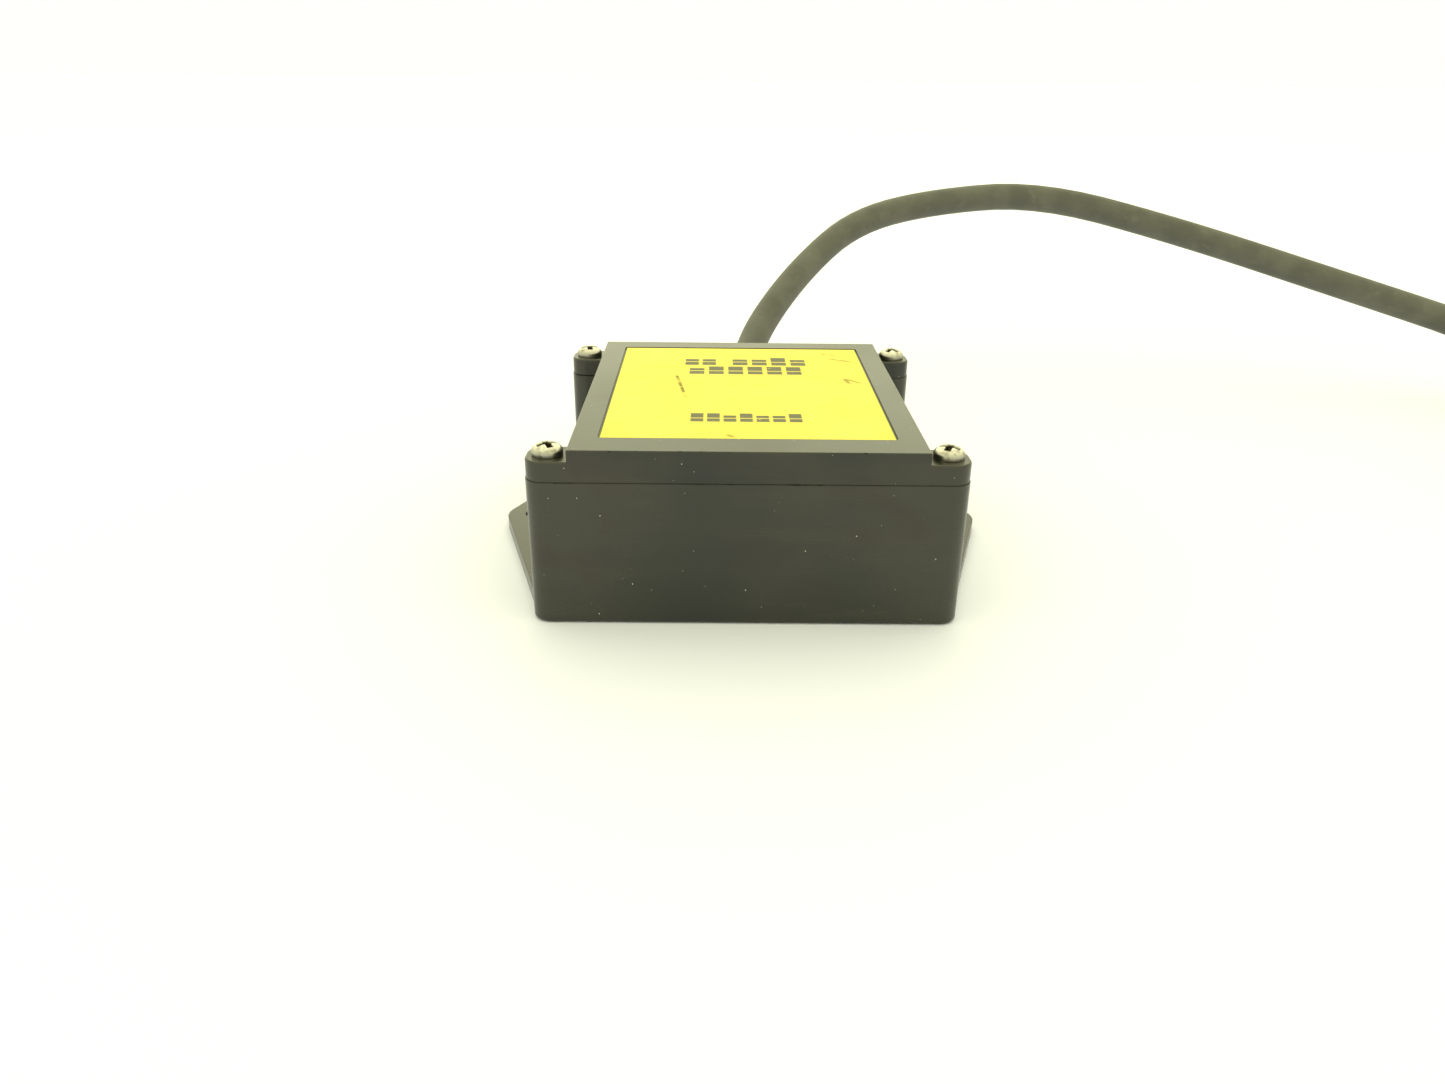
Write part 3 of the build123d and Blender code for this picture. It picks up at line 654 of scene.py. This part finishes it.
def lid_screw(corner, material, turn):
    """A pan-head screw, worked out on rings and spokes: a domed head with a cross recess, turned
    through an angle, over a shank whose radius rises and falls with the thread."""
    low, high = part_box("lid_screw_" + corner)
    centre = (low + high) / 2
    seat = low.z + SHANK_L
    crown = np.linspace(0, 1, 44)
    head_r = 0.98 * HEAD_R * crown
    head_z = HEAD_H - 0.45 * HEAD_H * crown ** 4 - 0.08 * HEAD_H * crown ** 2
    side_r = HEAD_R * np.array([0.995, 1.0, 1.0, 0.99, 0.95])
    side_z = HEAD_H * np.array([0.42, 0.36, 0.08, 0.02, 0.0])
    ridge = np.arange(2 * round(SHANK_L / THREAD_PITCH))
    shank_z = -ridge * THREAD_PITCH / 2
    shank_r = np.where(ridge % 2 == 0, 0.86, 1.0) * SHANK_R
    r = np.concatenate([head_r, side_r, shank_r, [0.0]])
    z = np.concatenate([head_z, side_z, shank_z, [shank_z[-1]]])
    spokes = np.linspace(0, 2 * math.pi, 96, endpoint=False)
    x = r[:, None] * np.cos(spokes)
    y = r[:, None] * np.sin(spokes)
    depth = recess_depth(x, y)
    depth[len(head_r):] = 0
    cos, sin = math.cos(turn), math.sin(turn)
    points = np.stack([centre.x + x * cos - y * sin, centre.y + x * sin + y * cos,
                       seat + z[:, None] - depth], -1)
    mesh = surface("pan_head_screw_" + corner, points, around=True)
    # Painted shade with some dirt: the rim and the deep recess are marked to be darkened.
    rim = 0.4 * eased((r / HEAD_R - 0.80) / 0.2)
    grime_and_shade = np.maximum(eased(depth / (0.45 * MM)), rim[:, None])
    mesh.attributes.new("grime_and_shade", "FLOAT", "POINT").data.foreach_set("value", grime_and_shade.ravel())
    return finished(mesh, material, "screw_" + corner, ["lid_screw_" + corner], 50)


def winding(material):
    """The aerial's winding: rows of wire round the former, one above another.

    The plan is a rounded rectangle. Going up, the wall swells by a half circle for every row."""
    low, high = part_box("antenna_coil")
    width, depth = high.x - low.x, high.y - low.y
    corner = 0.0133
    wall = 0.0028
    rows = 10
    turn = np.linspace(0, 2 * math.pi, 256, endpoint=False)
    quarter = np.floor(turn / (math.pi / 2) + 0.5) * math.pi / 2
    middle_x = (width / 2 - corner) * np.sign(np.cos(turn))
    middle_y = (depth / 2 - corner) * np.sign(np.sin(turn))
    normal = np.stack([np.cos(turn), np.sin(turn)], 1)
    height = np.linspace(0, 1, rows * 9 + 1)
    wire = (high.z - low.z) / rows / 2
    phase = (height * rows) % 1.0
    swell = wire * (np.sqrt(np.maximum(0, 1 - (2 * phase - 1) ** 2)) - 1)
    out = np.concatenate([[-wall], swell, [-wall]])
    z = np.concatenate([[low.z], low.z + height * (high.z - low.z), [high.z]])
    x = (low.x + high.x) / 2 + middle_x + (corner + out[:, None]) * normal[:, 0]
    y = (low.y + high.y) / 2 + middle_y + (corner + out[:, None]) * normal[:, 1]
    points = np.stack([x, y, np.broadcast_to(z[:, None], x.shape)], -1)
    mesh = surface("aerial_winding", points, around=True, closed=True)
    return finished(mesh, material, "base", ["antenna_coil"], 60)


def paint(materials):
    """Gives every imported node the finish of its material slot."""
    for part in frame["record"]["subparts"]:
        mesh = NODES[part["node"]].data
        mesh.materials.clear()
        mesh.materials.append(materials[part["material_slot"]])


# ================================================================ studio
def floor():
    """A wide pale floor."""
    mesh = bpy.data.meshes.new("floor")
    reach = 6.0
    corners = [(-reach, -reach, 0), (reach, -reach, 0), (reach, reach, 0), (-reach, reach, 0)]
    mesh.from_pydata(corners, [], [(0, 1, 2, 3)])
    s = Shader("floor_pale", specular_ior_level=0.2, roughness=0.6)
    s.set("base_color", s.mix(s.noise(3, 2), (0.79, 0.80, 0.98, 1), (0.81, 0.82, 1.00, 1)))
    mesh.materials.append(s.material)
    piece = bpy.data.objects.new("floor", mesh)
    bpy.context.scene.collection.objects.link(piece)


def softbox(name, place, target, size, watts):
    """A square area light that looks at a point and is not seen itself."""
    light = bpy.data.lights.new(name, "AREA")
    light.size = size
    light.energy = watts
    light.color = LIGHT_COLOUR
    lamp = bpy.data.objects.new(name, light)
    bpy.context.scene.collection.objects.link(lamp)
    aim = np.array(target) - np.array(place)
    back = -aim / np.linalg.norm(aim)
    side = np.cross((0, 0, 1), back)
    side = side / np.linalg.norm(side)
    up = np.cross(back, side)
    lamp.matrix_world = Matrix([[side[k], up[k], back[k], place[k]] for k in range(3)] + [[0, 0, 0, 1]])
    lamp.visible_camera = False


def surround():
    """A world of slightly yellow light, stronger towards the back, that itself looks plain white."""
    world = bpy.data.worlds.new("studio")
    world.use_nodes = True
    tree = world.node_tree
    towards = tree.nodes.new("ShaderNodeTexCoord")
    parts = tree.nodes.new("ShaderNodeSeparateXYZ")
    rise = tree.nodes.new("ShaderNodeMapRange")
    rise.interpolation_type = "SMOOTHSTEP"
    for name, value in (("From Min", -0.4), ("From Max", 0.9), ("To Min", 1.46), ("To Max", 1.60)):
        rise.inputs[name].default_value = value
    light = tree.nodes["Background"]
    light.inputs["Color"].default_value = LIGHT_COLOUR + (1,)
    seen = tree.nodes.new("ShaderNodeBackground")
    seen.inputs["Color"].default_value = (1.0, 1.0, 0.97, 1)
    rays = tree.nodes.new("ShaderNodeLightPath")
    either = tree.nodes.new("ShaderNodeMixShader")
    for source, socket in ((towards.outputs["Generated"], parts.inputs[0]),
                           (parts.outputs[1], rise.inputs["Value"]),
                           (rise.outputs[0], light.inputs["Strength"]),
                           (rays.outputs["Is Camera Ray"], either.inputs[0]),
                           (light.outputs[0], either.inputs[1]),
                           (seen.outputs[0], either.inputs[2]),
                           (either.outputs[0], tree.nodes["World Output"].inputs["Surface"])):
        tree.links.new(source, socket)
    bpy.context.scene.world = world


def studio():
    """The floor, the bright surround and a soft light behind the box."""
    floor()
    surround()
    softbox("back_light", (0.0, 1.1, 0.75), (0, 0, 0.02), 1.2, 1.4)
    bpy.context.scene.view_settings.view_transform = "Standard"


def camera():
    """The camera: yaw about Z, then pitch down, then a small roll about its own line of sight."""
    cy, sy = math.cos(CAMERA_YAW), math.sin(CAMERA_YAW)
    cp, sp = math.cos(CAMERA_PITCH), math.sin(CAMERA_PITCH)
    cr, sr = math.cos(CAMERA_ROLL), math.sin(CAMERA_ROLL)
    ahead = np.array([sy * cp, cy * cp, -sp])
    right = np.array([cy, -sy, 0.0])
    up = np.cross(right, ahead)
    turned = np.stack([right * cr + up * sr, -right * sr + up * cr, -ahead, CAMERA_AT], 1)
    lens = bpy.data.cameras.new("camera")
    lens.lens = CAMERA_LENS
    lens.sensor_width = 36.0
    lens.clip_start = 0.01
    eye = bpy.data.objects.new("camera", lens)
    bpy.context.scene.collection.objects.link(eye)
    eye.matrix_world = Matrix(np.vstack([turned, [0, 0, 0, 1]]).tolist())
    bpy.context.scene.camera = eye


# ================================================================ assembly
materials = finishes()
paint(materials)
cord = cable(materials["cable_jacket"])
strap = tie(materials["tie_fabric"])
winding(materials["copper_wire"])
for corner, turn in (("front_left", 0.5), ("front_right", 1.1), ("rear_left", 0.2), ("rear_right", 0.8)):
    lid_screw(corner, materials["screw_steel"], turn)
studio()
camera()
